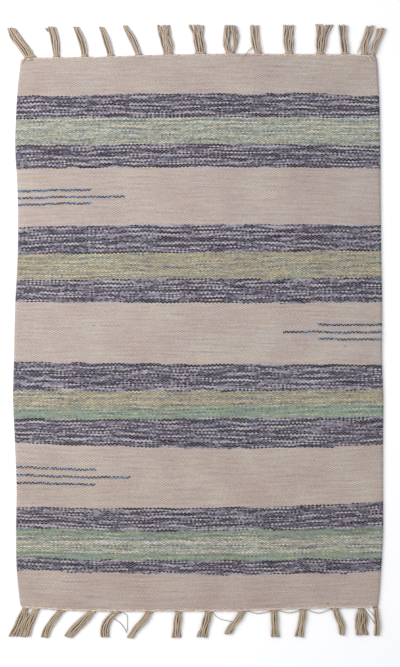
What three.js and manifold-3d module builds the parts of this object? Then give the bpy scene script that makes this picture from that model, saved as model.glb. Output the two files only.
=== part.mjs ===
// A flat-woven cotton kilim rug, lying open and flat, with 14 knotted tassels along each end.
// Millimetres, +Z up. The origin is the middle of the underside. The length runs along Y,
// the far end is at +Y, and everything lies on the plane z = 0.

import * as THREE from 'three';
import Module from 'manifold-3d';

// Woven field: one thick weft-faced cloth, about 2 ft by 3 ft
const FIELD_WIDTH = 600;
const FIELD_LENGTH = 914;
const FIELD_THICKNESS = 4;
const EDGE_ROUNDING = 1.2;
const EDGE_ROUNDING_STEPS = 2;
const CORNER_RADIUS = 5;
const CORNER_PULL = 2.5;
const CORNER_DROP = 0.8;
const POINTS_PER_ROW = 4;

// Tassels: about 15 yarns each, tied with one tight knot against the end of the cloth
const TASSEL_GAP = 0.3;
const KNOT_LENGTH = 7;
const KNOT_HEIGHT = 7.5;
const BODY_HEIGHT = 6;
const TIP_HEIGHT = 4.2;
const BODY_STEPS = 6;
const SECTION_SIDES = 10;

// A loose bundle fills this share of the width that its outermost yarns span.
const FULLNESS = 0.9;
// The bundle has its middle width between these two shares of its reach.
const MIDDLE_FROM = 0.35;
const MIDDLE_TO = 0.65;
// Two legs part beyond the knot, meet again at this share of the reach, and overlap where they meet.
const GAP_END = 0.85;
const LEG_OVERLAP = 1;

// The selvedges are pulled in near the ends and by some of the stripes.
// A row gives how far each one stands out past half the nominal width, at a place along the length.
const selvedgeRows = [
  { y: 436, left: -7.0, right: -6.3 },
  { y: 405, left: -3.5, right: -4.4 },
  { y: 357, left: -0.4, right: -2.7 },
  { y: 309, left: 1.0, right: -1.9 },
  { y: 232, left: -2.8, right: -1.3 },
  { y: 127, left: -3.0, right: -0.2 },
  { y: 50, left: 0.8, right: 1.2 },
  { y: -48, left: 3.2, right: 1.1 },
  { y: -105, left: 4.5, right: 3.1 },
  { y: -181, left: 1.3, right: 2.7 },
  { y: -255, left: -1.3, right: 2.6 },
  { y: -330, left: -0.5, right: 2.8 },
  { y: -390, left: -1.7, right: -0.4 },
  { y: -436, left: -6.2, right: -3.7 },
];

// The two ends bow outwards in the middle, a little unevenly.
// A row gives how far each end stands out past half the nominal length, at a place across the width.
const endRows = [
  { x: -277, far: -6.6, near: -5.2 },
  { x: -215, far: -5.2, near: -1.2 },
  { x: -154, far: -4.4, near: 0.2 },
  { x: -80, far: -1.7, near: 0.1 },
  { x: 2, far: -0.3, near: 0.0 },
  { x: 60, far: 0.6, near: -0.4 },
  { x: 124, far: -0.1, near: -2.4 },
  { x: 200, far: -0.7, near: -4.8 },
  { x: 277, far: -1.6, near: -5.8 },
];

// Tassels, left to right. x is the knot's place. third, twoThirds and tip say how far to the right
// of it the middle of the bundle lies, at thirds of its reach from the cloth. root, middle and end
// are the widths there, measured along the cloth's end. Where the bundle parts into two legs and
// meets again, gap is the widest place between them.
const farTassels = [
  { x: -277.6, third: -9.2, twoThirds: -21.5, tip: -30, reach: 50, root: 16, middle: 20, end: 13 },
  { x: -233.5, third: -1.2, twoThirds: -3.6, tip: -8.5, reach: 50.8, root: 9, middle: 13.5, end: 13.5 },
  { x: -187.3, third: -2, twoThirds: -6.9, tip: -14.1, reach: 49.9, root: 9, middle: 11.5, end: 9.3 },
  { x: -144.5, third: -4.1, twoThirds: -8.7, tip: -15.3, reach: 49.8, root: 9.5, middle: 10.5, end: 8 },
  { x: -98.4, third: -5.9, twoThirds: -13.3, tip: -23, reach: 49.5, root: 9, middle: 11.5, end: 7.5 },
  { x: -49.9, third: -2.1, twoThirds: -6, tip: -7.9, reach: 49.1, root: 14, middle: 20, end: 21 },
  { x: 2.8, third: -2.3, twoThirds: -4.6, tip: -6.7, reach: 48.7, root: 15, middle: 18.5, end: 25 },
  { x: 52, third: 0, twoThirds: 0.8, tip: 0.3, reach: 47.4, root: 12, middle: 21.5, end: 21, gap: 5.5 },
  { x: 98, third: -4, twoThirds: -5.9, tip: -7.2, reach: 47.9, root: 10, middle: 13.5, end: 14.5 },
  { x: 148.7, third: -1, twoThirds: -1.1, tip: -1.1, reach: 48.1, root: 11, middle: 17, end: 17.5 },
  { x: 199.3, third: 1.3, twoThirds: 3.9, tip: 7.4, reach: 49.8, root: 10.5, middle: 18.5, end: 29 },
  { x: 240.5, third: -1.3, twoThirds: -2.8, tip: -4.1, reach: 49.2, root: 10, middle: 11.8, end: 14.5 },
  { x: 272.5, third: -0.5, twoThirds: 4.5, tip: 9.5, reach: 48, root: 9.5, middle: 12.5, end: 13.5 },
  { x: 286, third: 2.5, twoThirds: 9, tip: 14.1, reach: 44.9, root: 7.5, middle: 12, end: 15 },
];
const nearTassels = [
  { x: -284.6, third: -4.9, twoThirds: -12, tip: -18.4, reach: 48, root: 8, middle: 15, end: 18 },
  { x: -266.3, third: -8.2, twoThirds: -14.5, tip: -19, reach: 47.5, root: 9, middle: 16, end: 17 },
  { x: -224.8, third: -12.3, twoThirds: -22.5, tip: -27.5, reach: 45.5, root: 10, middle: 13, end: 13 },
  { x: -174.7, third: -12.8, twoThirds: -27, tip: -39.5, reach: 43.5, root: 10, middle: 18.5, end: 14 },
  { x: -134.2, third: -13.9, twoThirds: -19.5, tip: -19.7, reach: 43, root: 12, middle: 14, end: 13.7 },
  { x: -80.4, third: -8.7, twoThirds: -22, tip: -31.2, reach: 44.3, root: 9, middle: 13.8, end: 12 },
  { x: -32.8, third: -1.5, twoThirds: -3, tip: -3.8, reach: 44.5, root: 9, middle: 12.8, end: 16 },
  { x: 16.8, third: -3.4, twoThirds: -7.5, tip: -11, reach: 44, root: 10, middle: 14, end: 18 },
  { x: 72.3, third: -7.1, twoThirds: -17.5, tip: -24, reach: 39, root: 10, middle: 12.5, end: 13 },
  { x: 124, third: 0.5, twoThirds: 1.3, tip: 2.1, reach: 46, root: 10, middle: 12, end: 14.5 },
  { x: 171.8, third: -1.2, twoThirds: -3.9, tip: -6.6, reach: 47.4, root: 9, middle: 12, end: 15.5 },
  { x: 224, third: 4.9, twoThirds: 10.9, tip: 12, reach: 45.2, root: 10, middle: 12, end: 10 },
  { x: 266.7, third: 1.1, twoThirds: 0.5, tip: 1.5, reach: 45.6, root: 7, middle: 20, end: 21 },
  { x: 291, third: 1.3, twoThirds: 3.1, tip: 1.3, reach: 47.6, root: 6, middle: 8.5, end: 9 },
];

// A knot's outline. at is a share of the knot's length, width of the root's and height of the knot's.
const knotRows = [
  { at: 0, width: 0.8, height: 0.75 },
  { at: 0.35, width: 1.05, height: 1 },
  { at: 0.7, width: 1, height: 0.95 },
];

const clothMaterial = new THREE.MeshStandardMaterial({ color: '#c3b3a9', roughness: 0.95, metalness: 0 });
const yarnMaterial = new THREE.MeshStandardMaterial({ color: '#b8a488', roughness: 0.9, metalness: 0 });

const wasm = await Module();
wasm.setup();

const rug = new THREE.Group();

function addMesh(name, geometry, material) {
  const mesh = new THREE.Mesh(geometry, material.clone());
  mesh.name = name;
  rug.add(mesh);
}

// Edge lines of the cloth, as points that smooth curves run through
const halfWidth = FIELD_WIDTH / 2;
const halfLength = FIELD_LENGTH / 2;
const leftPoints = selvedgeRows.map((row) => new THREE.Vector2(-halfWidth - row.left, row.y));
const rightPoints = selvedgeRows.map((row) => new THREE.Vector2(halfWidth + row.right, row.y));
const farPoints = endRows.map((row) => new THREE.Vector2(row.x, halfLength + row.far));
const nearPoints = endRows.map((row) => new THREE.Vector2(row.x, -halfLength - row.near));

// A selvedge and an end meet a little inside both of their lines, because the corner is drawn in.
function cornerBetween(a, b) {
  const selvedge = Math.abs(a.x) > Math.abs(b.x) ? a : b;
  const end = selvedge === a ? b : a;
  return new THREE.Vector2(
    selvedge.x - Math.sign(selvedge.x) * CORNER_PULL,
    end.y - Math.sign(end.y) * CORNER_DROP,
  );
}

function shortOfCorner(corner, from) {
  const way = corner.clone().sub(from);
  return way.setLength(way.length() - CORNER_RADIUS).add(from);
}

// The four edge lines counter-clockwise, each followed by a rounded corner
function fieldOutline() {
  const edges = [nearPoints, rightPoints.toReversed(), farPoints.toReversed(), leftPoints];
  const shape = new THREE.Shape();
  edges.forEach((points, i) => {
    const last = points[points.length - 1];
    const next = edges[(i + 1) % edges.length][0];
    const corner = cornerBetween(last, next);
    const into = shortOfCorner(corner, last);
    const out = shortOfCorner(corner, next);
    if (i === 0) {
      shape.moveTo(points[0].x, points[0].y);
    } else {
      shape.lineTo(points[0].x, points[0].y);
    }
    shape.splineThru(points.slice(1));
    shape.lineTo(into.x, into.y);
    shape.quadraticCurveTo(corner.x, corner.y, out.x, out.y);
  });
  return shape;
}

// The outline extruded to the cloth's thickness, with softly rounded edges above and below
function fieldGeometry() {
  const geometry = new THREE.ExtrudeGeometry(fieldOutline(), {
    depth: FIELD_THICKNESS - 2 * EDGE_ROUNDING,
    bevelEnabled: true,
    bevelThickness: EDGE_ROUNDING,
    bevelSize: EDGE_ROUNDING,
    bevelOffset: -EDGE_ROUNDING,
    bevelSegments: EDGE_ROUNDING_STEPS,
    curveSegments: POINTS_PER_ROW,
  });
  geometry.translate(0, 0, EDGE_ROUNDING);
  return geometry;
}

// How far the cloth reaches along Y, within half a root's width of x
function reachOfCloth(points, x, halfRoot) {
  const middle = THREE.MathUtils.clamp(x, points[0].x, points[points.length - 1].x);
  const samples = new THREE.SplineCurve(points).getPoints(FIELD_WIDTH);
  const beside = samples.filter((sample) => Math.abs(sample.x - middle) <= halfRoot);
  return Math.max(...beside.map((sample) => Math.abs(sample.y)));
}

// One section of a bundle: an ellipse cut off flat underneath, where the yarns lie on the floor
function bundleSection(width, height) {
  const centreUp = 0.4 * height;
  const radiusUp = 0.6 * height;
  const points = [];
  for (let i = 0; i < SECTION_SIDES; i += 1) {
    const angle = (2 * Math.PI * i) / SECTION_SIDES;
    points.push({
      across: 0.5 * width * Math.cos(angle),
      up: Math.max(0, centreUp + radiusUp * Math.sin(angle)),
    });
  }
  return points;
}

// Joins the sections along one bundle into a closed solid. Each lies parallel to the cloth's end.
function bundleGeometry(stations, outward) {
  const positions = [];
  const triangles = [];
  for (const station of stations) {
    for (const point of bundleSection(station.width, station.height)) {
      positions.push(station.x - outward * point.across, station.y, point.up);
    }
  }
  const lastRing = (stations.length - 1) * SECTION_SIDES;
  for (let ring = 0; ring < lastRing; ring += SECTION_SIDES) {
    for (let i = 0; i < SECTION_SIDES; i += 1) {
      const a = ring + i;
      const b = ring + ((i + 1) % SECTION_SIDES);
      triangles.push(a, b, b + SECTION_SIDES);
      triangles.push(a, b + SECTION_SIDES, a + SECTION_SIDES);
    }
  }
  for (let i = 1; i + 1 < SECTION_SIDES; i += 1) {
    triangles.push(0, i + 1, i);
    triangles.push(lastRing, lastRing + i, lastRing + i + 1);
  }
  const geometry = new THREE.BufferGeometry();
  geometry.setAttribute('position', new THREE.Float32BufferAttribute(positions, 3));
  geometry.setIndex(triangles);
  return geometry;
}

function toSolid(geometry) {
  return new wasm.Manifold(new wasm.Mesh({
    numProp: 3,
    vertProperties: new Float32Array(geometry.attributes.position.array),
    triVerts: new Uint32Array(geometry.index.array),
  }));
}

function toGeometry(solid) {
  const mesh = solid.getMesh();
  const geometry = new THREE.BufferGeometry();
  geometry.setAttribute('position', new THREE.BufferAttribute(mesh.vertProperties, 3));
  geometry.setIndex(new THREE.BufferAttribute(mesh.triVerts, 1));
  return geometry;
}

// The bundle's width at a share of its reach: from the root's to the middle's, and on to the end's
function bundleWidth(row, share) {
  if (share < MIDDLE_FROM) {
    return THREE.MathUtils.lerp(row.root, row.middle, share / MIDDLE_FROM);
  }
  const towardsEnd = Math.max(0, share - MIDDLE_TO) / (1 - MIDDLE_TO);
  return THREE.MathUtils.lerp(row.middle, row.end, towardsEnd);
}

// One leg of a tassel, from the knot to the tip. outward is +1 at the far end and -1 at the near end.
// side is 0 for a bundle without a gap, and -1 or +1 for the leg to the left or right of one.
function tasselLeg(row, outward, startY, side) {
  const gap = row.gap ?? 0;
  const offsets = [0, row.third, row.twoThirds, row.tip];
  const line = new THREE.SplineCurve(
    offsets.map((offset, i) => new THREE.Vector2(row.x + offset, (row.reach * i) / 3)),
  );
  const sections = knotRows.map((knot) => ({
    share: (knot.at * KNOT_LENGTH) / row.reach,
    width: row.root * knot.width,
    height: KNOT_HEIGHT * knot.height,
  }));
  for (let step = 0; step <= BODY_STEPS; step += 1) {
    const t = step / BODY_STEPS;
    const share = THREE.MathUtils.lerp(KNOT_LENGTH / row.reach, 1, t);
    sections.push({
      share,
      width: FULLNESS * bundleWidth(row, share),
      height: THREE.MathUtils.lerp(BODY_HEIGHT, TIP_HEIGHT, t),
    });
  }
  const stations = sections.map(({ share, width, height }) => {
    const place = line.getPoint(share);
    const parting = gap * Math.sin(Math.PI * Math.min(1, share / GAP_END));
    const outer = width / 2 + parting / 4;
    const inner = side === 0 ? -outer : parting / 2 - LEG_OVERLAP;
    return {
      x: place.x + (side * (outer + inner)) / 2,
      y: startY + outward * place.y,
      width: outer - inner,
      height,
    };
  });
  return bundleGeometry(stations, outward);
}

function tasselGeometry(row, outward) {
  const clothEnd = outward > 0 ? farPoints : nearPoints;
  const startY = outward * (reachOfCloth(clothEnd, row.x, row.root / 2) + TASSEL_GAP);
  if (row.gap === undefined) {
    return tasselLeg(row, outward, startY, 0);
  }
  const leftLeg = toSolid(tasselLeg(row, outward, startY, -1));
  const rightLeg = toSolid(tasselLeg(row, outward, startY, 1));
  return toGeometry(leftLeg.add(rightLeg));
}

function addTassels(rows, outward, endName) {
  rows.forEach((row, i) => {
    const number = String(i + 1).padStart(2, '0');
    addMesh(`tassel_${endName}_${number}`, tasselGeometry(row, outward), yarnMaterial);
  });
}

addMesh('rug_field', fieldGeometry(), clothMaterial);
addTassels(farTassels, 1, 'far');
addTassels(nearTassels, -1, 'near');

export default rug;
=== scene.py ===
# %% [markdown]
# # A kilim rug, lying flat
# A kilim is a flat weave: warps run the length of the rug, and thick weft picks are beaten
# down so hard that they hide the warps. The CAD model holds the size and place of the cloth
# and of its 28 tassels. This script gives them their threads: a woven surface with marled
# stripes, short dashes woven in at the selvedges, corded ends, tassels of plied yarn and
# a few slubs.

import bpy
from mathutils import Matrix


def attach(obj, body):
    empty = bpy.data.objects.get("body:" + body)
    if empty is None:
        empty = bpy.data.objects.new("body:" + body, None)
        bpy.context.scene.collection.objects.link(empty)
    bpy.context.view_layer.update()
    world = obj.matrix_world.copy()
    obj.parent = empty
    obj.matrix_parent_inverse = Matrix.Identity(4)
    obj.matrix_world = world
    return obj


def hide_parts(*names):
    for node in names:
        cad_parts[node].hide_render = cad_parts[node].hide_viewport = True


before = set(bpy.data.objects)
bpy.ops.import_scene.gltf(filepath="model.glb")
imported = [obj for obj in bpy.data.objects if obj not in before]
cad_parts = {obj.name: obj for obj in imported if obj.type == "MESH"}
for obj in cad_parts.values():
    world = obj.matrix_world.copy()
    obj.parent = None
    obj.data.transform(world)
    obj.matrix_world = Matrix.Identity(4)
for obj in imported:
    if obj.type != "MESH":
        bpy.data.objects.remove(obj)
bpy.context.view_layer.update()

# %% [markdown]
# ## Camera
# The photograph looks straight down, and its long side is the rug's length. A long lens
# far above keeps the view flat. One pixel of the picture covers 1.64 mm of cloth, which
# gives the camera's height. The rug lies a pixel or so off the middle of the picture.

# %% Camera straight above the rug
import bpy

MM = 0.001
PIXEL = 1.64 * MM
PICTURE_HEIGHT_PIXELS = 667
LENS_MM = 80.0
SENSOR_MM = 36.0
PIXELS_RIGHT = 1.4
PIXELS_NEARER = 1
THICKNESS = 4.0

camera_data = bpy.data.cameras.new("camera")
camera_data.lens = LENS_MM
camera_data.sensor_width = SENSOR_MM
camera = bpy.data.objects.new("camera", camera_data)
camera_height = PICTURE_HEIGHT_PIXELS * PIXEL * LENS_MM / SENSOR_MM + THICKNESS * MM
camera.location = (PIXELS_RIGHT * PIXEL, -PIXELS_NEARER * PIXEL, camera_height)
bpy.context.scene.collection.objects.link(camera)
bpy.context.scene.camera = camera
print(f"camera {camera_height:.3f} m above the floor")

# %% [markdown]
# ## Soft studio light
# Matt yarn shows its relief only in soft, slightly sided light. A wide lamp on the upper
# left is the main one, a weaker one on the right opens the shadows, and an even pale sky
# lights the rest. The lamps are hidden from the camera, so that no view shows them.

# %% Two wide lamps and a pale sky
from mathutils import Vector

SKY_COLOUR = (0.93, 0.95, 1.0, 1.0)
SKY_STRENGTH = 0.68


def soft_lamp(name, place, width, watts, colour):
    """A square lamp in metres and watts, aimed at the middle of the rug."""
    lamp = bpy.data.lights.new(name, "AREA")
    lamp.size = width
    lamp.energy = watts
    lamp.color = colour
    holder = bpy.data.objects.new(name, lamp)
    holder.location = place
    holder.rotation_euler = (-Vector(place)).to_track_quat("-Z", "Y").to_euler()
    holder.visible_camera = False
    bpy.context.scene.collection.objects.link(holder)


soft_lamp("main_lamp", place=(-1.3, 0.4, 1.3), width=1.2, watts=37, colour=(1, 0.97, 0.94))
soft_lamp("fill_lamp", place=(1.6, -0.7, 2.2), width=1.8, watts=16, colour=(0.96, 0.98, 1))
sky = bpy.data.worlds.new("pale_sky")
sky.use_nodes = True
sky_inputs = sky.node_tree.nodes["Background"].inputs
sky_inputs["Color"].default_value = SKY_COLOUR
sky_inputs["Strength"].default_value = SKY_STRENGTH
bpy.context.scene.world = sky
bpy.context.scene.view_settings.view_transform = "Standard"

# %% [markdown]
# ## Short hands for node trees
# Every finish here is made of nodes. These helpers add a node, fill its inputs with
# numbers or with links, and hand back what it puts out, so that each finish below reads
# like a recipe. A group is built once, with named inputs and outputs, and then placed in
# every material that needs the effect.

# %% Helpers that place nodes
def fill(tree, node, inputs):
    """Sets a node's inputs to values or links, and returns its outputs."""
    for key, value in inputs.items():
        if isinstance(value, bpy.types.NodeSocket):
            tree.links.new(value, node.inputs[key])
        else:
            node.inputs[key].default_value = value
    return node.outputs


def put(tree, kind, inputs=None, **options):
    """Adds a node, sets its options and inputs, and returns its outputs."""
    made = tree.nodes.new("ShaderNode" + kind)
    for option, value in options.items():
        setattr(made, option, value)
    return fill(tree, made, inputs or {})


def calc(tree, operation, *values, clamp=False):
    """The result of a Math node."""
    return put(tree, "Math", dict(enumerate(values)), operation=operation, use_clamp=clamp)[0]


def blend(tree, share, first, second, way="MIX"):
    """The colour that a Mix node makes of two colours."""
    inputs = {0: share, 6: first, 7: second}
    return put(tree, "Mix", inputs, data_type="RGBA", blend_type=way)[2]


def grey(tree, value):
    """A grey as bright as a value."""
    return put(tree, "CombineColor", {0: value, 1: value, 2: value})[0]


def relief(tree, height, depth, strength):
    """The normal that a Bump node makes of a height, for a depth in metres."""
    return put(tree, "Bump", {"Height": height, "Distance": depth, "Strength": strength})[0]


def colour(code):
    """A colour written as on a shade card, such as b5ad8c, in the form that nodes take."""
    parts = [int(code[i : i + 2], 16) / 255 for i in (0, 2, 4)]
    linear = [p / 12.92 if p <= 0.04045 else ((p + 0.055) / 1.055) ** 2.4 for p in parts]
    return (*linear, 1.0)


def ramp(tree, place, stops, smooth=True):
    """The colour at a place on a scale of stops, each a position and a shade."""
    made = tree.nodes.new("ShaderNodeValToRGB")
    made.color_ramp.interpolation = "LINEAR" if smooth else "CONSTANT"
    elements = made.color_ramp.elements
    elements.remove(elements[1])
    for i, (position, shade) in enumerate(stops):
        element = elements.new(position) if i else elements[0]
        element.position = position
        element.color = colour(shade) if isinstance(shade, str) else shade
    return fill(tree, made, {0: place})[0]


# %% Helpers that make and place groups
def new_group(name, takes, gives):
    """An empty group, what comes in at its inner start, and its inner end node."""
    group = bpy.data.node_groups.new(name, "ShaderNodeTree")
    for label, start in takes.items():
        kind = "NodeSocketVector" if start is None else "NodeSocketFloat"
        socket = group.interface.new_socket(label, in_out="INPUT", socket_type=kind)
        if start is not None:
            socket.default_value = start
    for label in gives:
        group.interface.new_socket(label, in_out="OUTPUT", socket_type="NodeSocketFloat")
    return group, group.nodes.new("NodeGroupInput").outputs, group.nodes.new("NodeGroupOutput")


def place_group(tree, group, inputs):
    """Places a group in a node tree, and returns its outputs."""
    made = tree.nodes.new("ShaderNodeGroup")
    made.node_tree = group
    return fill(tree, made, inputs)


# %% [markdown]
# ## How the cloth lies
# The rug is hand woven, so no pick is quite straight: each stripe sags or rises a few
# millimetres on its way across, and the selvedges are pulled in near the ends. The
# easiest way to keep pattern and shape together is to number the threads. Warps count
# from the left selvedge and picks from the far end, and one function says where on the
# floor any warp crosses any pick. The mesh, the stripes and the dashes all use it.

# %% Stripe plan
from collections import namedtuple

import numpy as np

WARPS = 190
PICKS = 500
HALF_WIDTH = 300.0
HALF_LENGTH = 457.0
PICK_PITCH = 2 * HALF_LENGTH / PICKS

# Each stripe's yarn, and where its first pick lies at the left selvedge, in the middle and
# at the right selvedge, in mm towards the far end from the middle of the rug
STRIPES = [
    ("dusk", 391.6, 395.6, 392.2),
    ("sage", 350.9, 354.9, 353.0),
    ("dusk", 308.1, 310.9, 307.8),
    ("cream", 267.9, 271.2, 268.4),
    ("dusk", 176.6, 181.1, 179.7),
    ("straw", 128.0, 131.4, 134.3),
    ("dusk", 86.8, 90.1, 91.6),
    ("cream", 49.8, 48.6, 49.0),
    ("dusk", -43.8, -47.8, -49.1),
    ("straw", -93.3, -94.3, -91.8),
    ("mint", -119.9, -118.1, -112.0),
    ("dusk", -139.2, -138.6, -136.4),
    ("cream", -179.2, -187.4, -184.7),
    ("dusk", -283.0, -283.6, -275.0),
    ("mint", -317.8, -323.6, -316.8),
    ("sage", -333.0, -335.5, -332.0),
    ("mint", -356.5, -358.5, -355.5),
    ("dusk", -364.2, -370.1, -366.2),
    ("cream", -389.0, -395.2, -390.8),
]
first_picks = [round((HALF_LENGTH - middle) / PICK_PITCH) for _, _, middle, _ in STRIPES]
print("first pick of each stripe:", first_picks)

# %% Edges of the cloth
# How far each selvedge stands out past half the width, at a place along the length
SELVEDGE_Y = [-457, -436, -390, -330, -255, -181, -105, -48, 50, 127, 232, 309, 357, 405, 436, 457]
LEFT_OUT = [-8.8, -6.2, -1.7, -0.5, -1.3, 1.3, 4.5, 3.2, 0.8, -3.0, -2.8, 1.0, -0.4, -3.5, -7.0, -9.7]
RIGHT_OUT = [-6.4, -3.7, -0.4, 2.8, 2.6, 2.7, 3.1, 1.1, 1.2, -0.2, -1.3, -1.9, -2.7, -4.4, -6.3, -8.8]
# How far each end stands out past half the length, at a place across the width
END_X = [-291, -277, -215, -154, -80, 2, 60, 124, 200, 277, 291]
FAR_OUT = [-7.4, -6.6, -5.2, -4.4, -1.7, -0.3, 0.6, -0.1, -0.7, -1.6, -2.4]
NEAR_OUT = [-6.0, -5.2, -1.2, 0.2, 0.1, 0.0, -0.4, -2.4, -4.8, -5.8, -6.6]


def smooth_through(at, places, values):
    """Values on a smooth curve through the given places, one row of values for each."""
    places = np.asarray(places, float)
    values = np.asarray(values, float)
    slopes = np.gradient(values, places, axis=0)
    at = np.clip(np.asarray(at, float), places[0], places[-1])
    k = np.clip(np.searchsorted(places, at) - 1, 0, len(places) - 2)
    gap = places[k + 1] - places[k]
    t = (at - places[k]) / gap
    if values.ndim > 1:
        t, gap = t[:, None], gap[:, None]
    return (
        (1 + 2 * t) * (1 - t) ** 2 * values[k]
        + t * (1 - t) ** 2 * gap * slopes[k]
        + t * t * (3 - 2 * t) * values[k + 1]
        + t * t * (t - 1) * gap * slopes[k + 1]
    )


# %% Where a warp crosses a pick
CORNER_RADIUS = 5.0
WAVER_MM = 0.45
WARP_WANDER_MM = 0.35
FIRM_WARPS = 3
FIRM_PICKS = 12


def waver(x, y):
    """The slow wandering of the picks, in mm, which is never the same twice."""
    return WAVER_MM * (
        np.sin(x / 23 + 1.3 * np.sin(y / 41))
        + 0.7 * np.sin(x / 9.7 + y / 17)
        + 0.5 * np.sin(x / 5.1 - y / 7.9 + 2)
    )


def warp_wander(warps, y):
    """How far, in mm, a warp lies beside its even place. The selvedges stay firm."""
    free = np.minimum(1, np.minimum(warps, WARPS - warps) / FIRM_WARPS)
    return WARP_WANDER_MM * free * (np.sin(2.2 * warps + y / 29) + np.sin(0.9 * warps - y / 47))


def row_bends(side):
    """For each known row, how far its picks lie from even spacing, across the cloth."""
    places = [0]
    bends = [smooth_through(side * HALF_WIDTH, END_X, FAR_OUT)]
    for first_pick, (_, left, middle, right) in zip(first_picks, STRIPES):
        bow = middle + side * (right - left) / 2 + side**2 * ((left + right) / 2 - middle)
        places.append(first_pick)
        bends.append(bow - (HALF_LENGTH - first_pick * PICK_PITCH))
    places.append(PICKS)
    bends.append(-smooth_through(side * HALF_WIDTH, END_X, NEAR_OUT))
    return places, np.array(bends)


def crossings(warps, picks):
    """x and y in mm where each warp meets each pick, as arrays of one row for each pick."""
    warps, picks = np.asarray(warps, float), np.asarray(picks, float)
    side = 2 * warps / WARPS - 1
    places, bends = row_bends(side)
    y = HALF_LENGTH - picks[:, None] * PICK_PITCH + smooth_through(picks, places, bends)
    fade = np.minimum(1, np.minimum(picks, PICKS - picks) / FIRM_PICKS)[:, None]
    y = y + fade * waver(side[None, :] * HALF_WIDTH, y)
    left = -HALF_WIDTH - smooth_through(y.ravel(), SELVEDGE_Y, LEFT_OUT).reshape(y.shape)
    right = HALF_WIDTH + smooth_through(y.ravel(), SELVEDGE_Y, RIGHT_OUT).reshape(y.shape)
    x = left + (right - left) * warps[None, :] / WARPS
    return x + warp_wander(warps[None, :], y), y


corner_x, corner_y = crossings([0, WARPS], [0, PICKS])
print("cloth corners in mm:", corner_x.round(1).tolist(), corner_y.round(1).tolist())

# %% [markdown]
# ## The woven relief
# In a plain weave a pick passes over one warp and under the next, and its neighbour does
# the opposite. The floats that show are therefore set like bricks. One mesh row for each
# pick and one column for each warp is just enough to hold that relief as real geometry:
# a corner of the grid is high where a pick floats and low where it dives. Anything finer,
# such as the ply of the yarn, is left to the bump. A cloth modifier isn't needed, because
# the rug lies flat, and an array of single yarns would be far heavier for the same look.

# %% Heights over the cloth
FLOAT_RELIEF = 0.22
PICK_UNEVENNESS = 0.10
EDGE_HEIGHT = 2.1
EDGE_DROP = 0.35
TURN_BACK = 0.45

chance = np.random.default_rng(11)


def swell(x, y):
    """The gentle swell of a rug on a floor, from 0 to about 0.5 mm."""
    return 0.25 + 0.12 * (np.sin(x / 83 + 0.6) + np.sin(y / 61 + x / 140) * 0.9)


warp_lines = np.array([0.0, *(np.arange(WARPS) + 0.5), WARPS])
pick_lines = np.array([0.0, *(np.arange(PICKS) + 0.5), PICKS])
grid_x, grid_y = crossings(warp_lines, pick_lines)
columns, rows = len(warp_lines), len(pick_lines)
floats = np.where((np.arange(rows)[:, None] + np.arange(columns)[None, :]) % 2 == 0, 1, -1)
grid_z = THICKNESS + swell(grid_x, grid_y) + FLOAT_RELIEF * floats
grid_z += PICK_UNEVENNESS * chance.standard_normal(rows)[:, None]

# %% Edges and corners of the grid
# The outer ring is the middle of the cloth's edge, where the picks turn back
ring = np.zeros((rows, columns), bool)
ring[[0, -1], :] = True
ring[:, [0, -1]] = True
grid_z[ring] = EDGE_HEIGHT
inner = np.zeros_like(ring)
inner[[1, -2], 1:-1] = True
inner[1:-1, [1, -2]] = True
grid_z[inner] -= EDGE_DROP
turn_back = TURN_BACK * np.where(np.arange(rows) % 2 == 0, 1, -1)
grid_x[:, 0] -= turn_back
grid_x[:, -1] += turn_back

# Near a corner the square grid is pressed into a quarter circle
from_side = np.minimum(grid_x - grid_x[:, :1], grid_x[:, -1:] - grid_x)
from_end = np.minimum(grid_y[:1, :] - grid_y, grid_y - grid_y[-1:, :])
a = np.clip(1 - from_side / CORNER_RADIUS, 0, 1)
b = np.clip(1 - from_end / CORNER_RADIUS, 0, 1)
press = 1 - np.maximum(a, b) / np.maximum(np.hypot(a, b), 1e-6)
grid_x -= np.sign(grid_x) * CORNER_RADIUS * a * press
grid_y -= np.sign(grid_y) * CORNER_RADIUS * b * press
print("top grid:", rows, "picks by", columns, "warp lines")

# %% [markdown]
# ## One closed piece of cloth
# The cloth is one solid with a woven top, a rounded edge and a flat underside. The
# underside lies on the floor and is never raised, so it gets cells ten threads wide,
# whose outer cells take in every point of the edge, so that no gap is left. A UV map
# holds the thread numbers themselves, warps across and picks along, for the material.

# %% Faces of the top, the edge and the underside
UNDERSIDE_INSET = 0.9
CELL_THREADS = 10

index = np.arange(rows * columns).reshape(rows, columns)
top = np.stack([index[:-1, :-1], index[1:, :-1], index[1:, 1:], index[:-1, 1:]], -1)
dives_first = floats[:-1, :-1] < 0
top = np.where(dives_first[..., None], top, np.roll(top, -1, axis=-1)).reshape(-1, 4)

points = np.stack([grid_x, grid_y, grid_z], -1).reshape(-1, 3)
threads = np.stack(np.broadcast_arrays(warp_lines[None, :], pick_lines[:, None]), -1)
threads = threads.reshape(-1, 2)
under_number = {}
under_points = []
under_threads = []


def under(row, column):
    """The number of the underside's point below a corner of the top grid."""
    if (row, column) not in under_number:
        x, y = grid_x[row, column], grid_y[row, column]
        if ring[row, column]:
            x -= np.sign(x) * UNDERSIDE_INSET * (column in (0, columns - 1))
            y -= np.sign(y) * UNDERSIDE_INSET * (row in (0, rows - 1))
        under_number[row, column] = rows * columns + len(under_points)
        under_points.append((x, y, 0.0))
        under_threads.append((warp_lines[column], pick_lines[row]))
    return under_number[row, column]


def walk(first, last, fine):
    """Steps from one thread to another, one by one along the edge of the cloth."""
    step = 1 if last > first else -1
    return range(first, last, step) if fine else [first]


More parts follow.
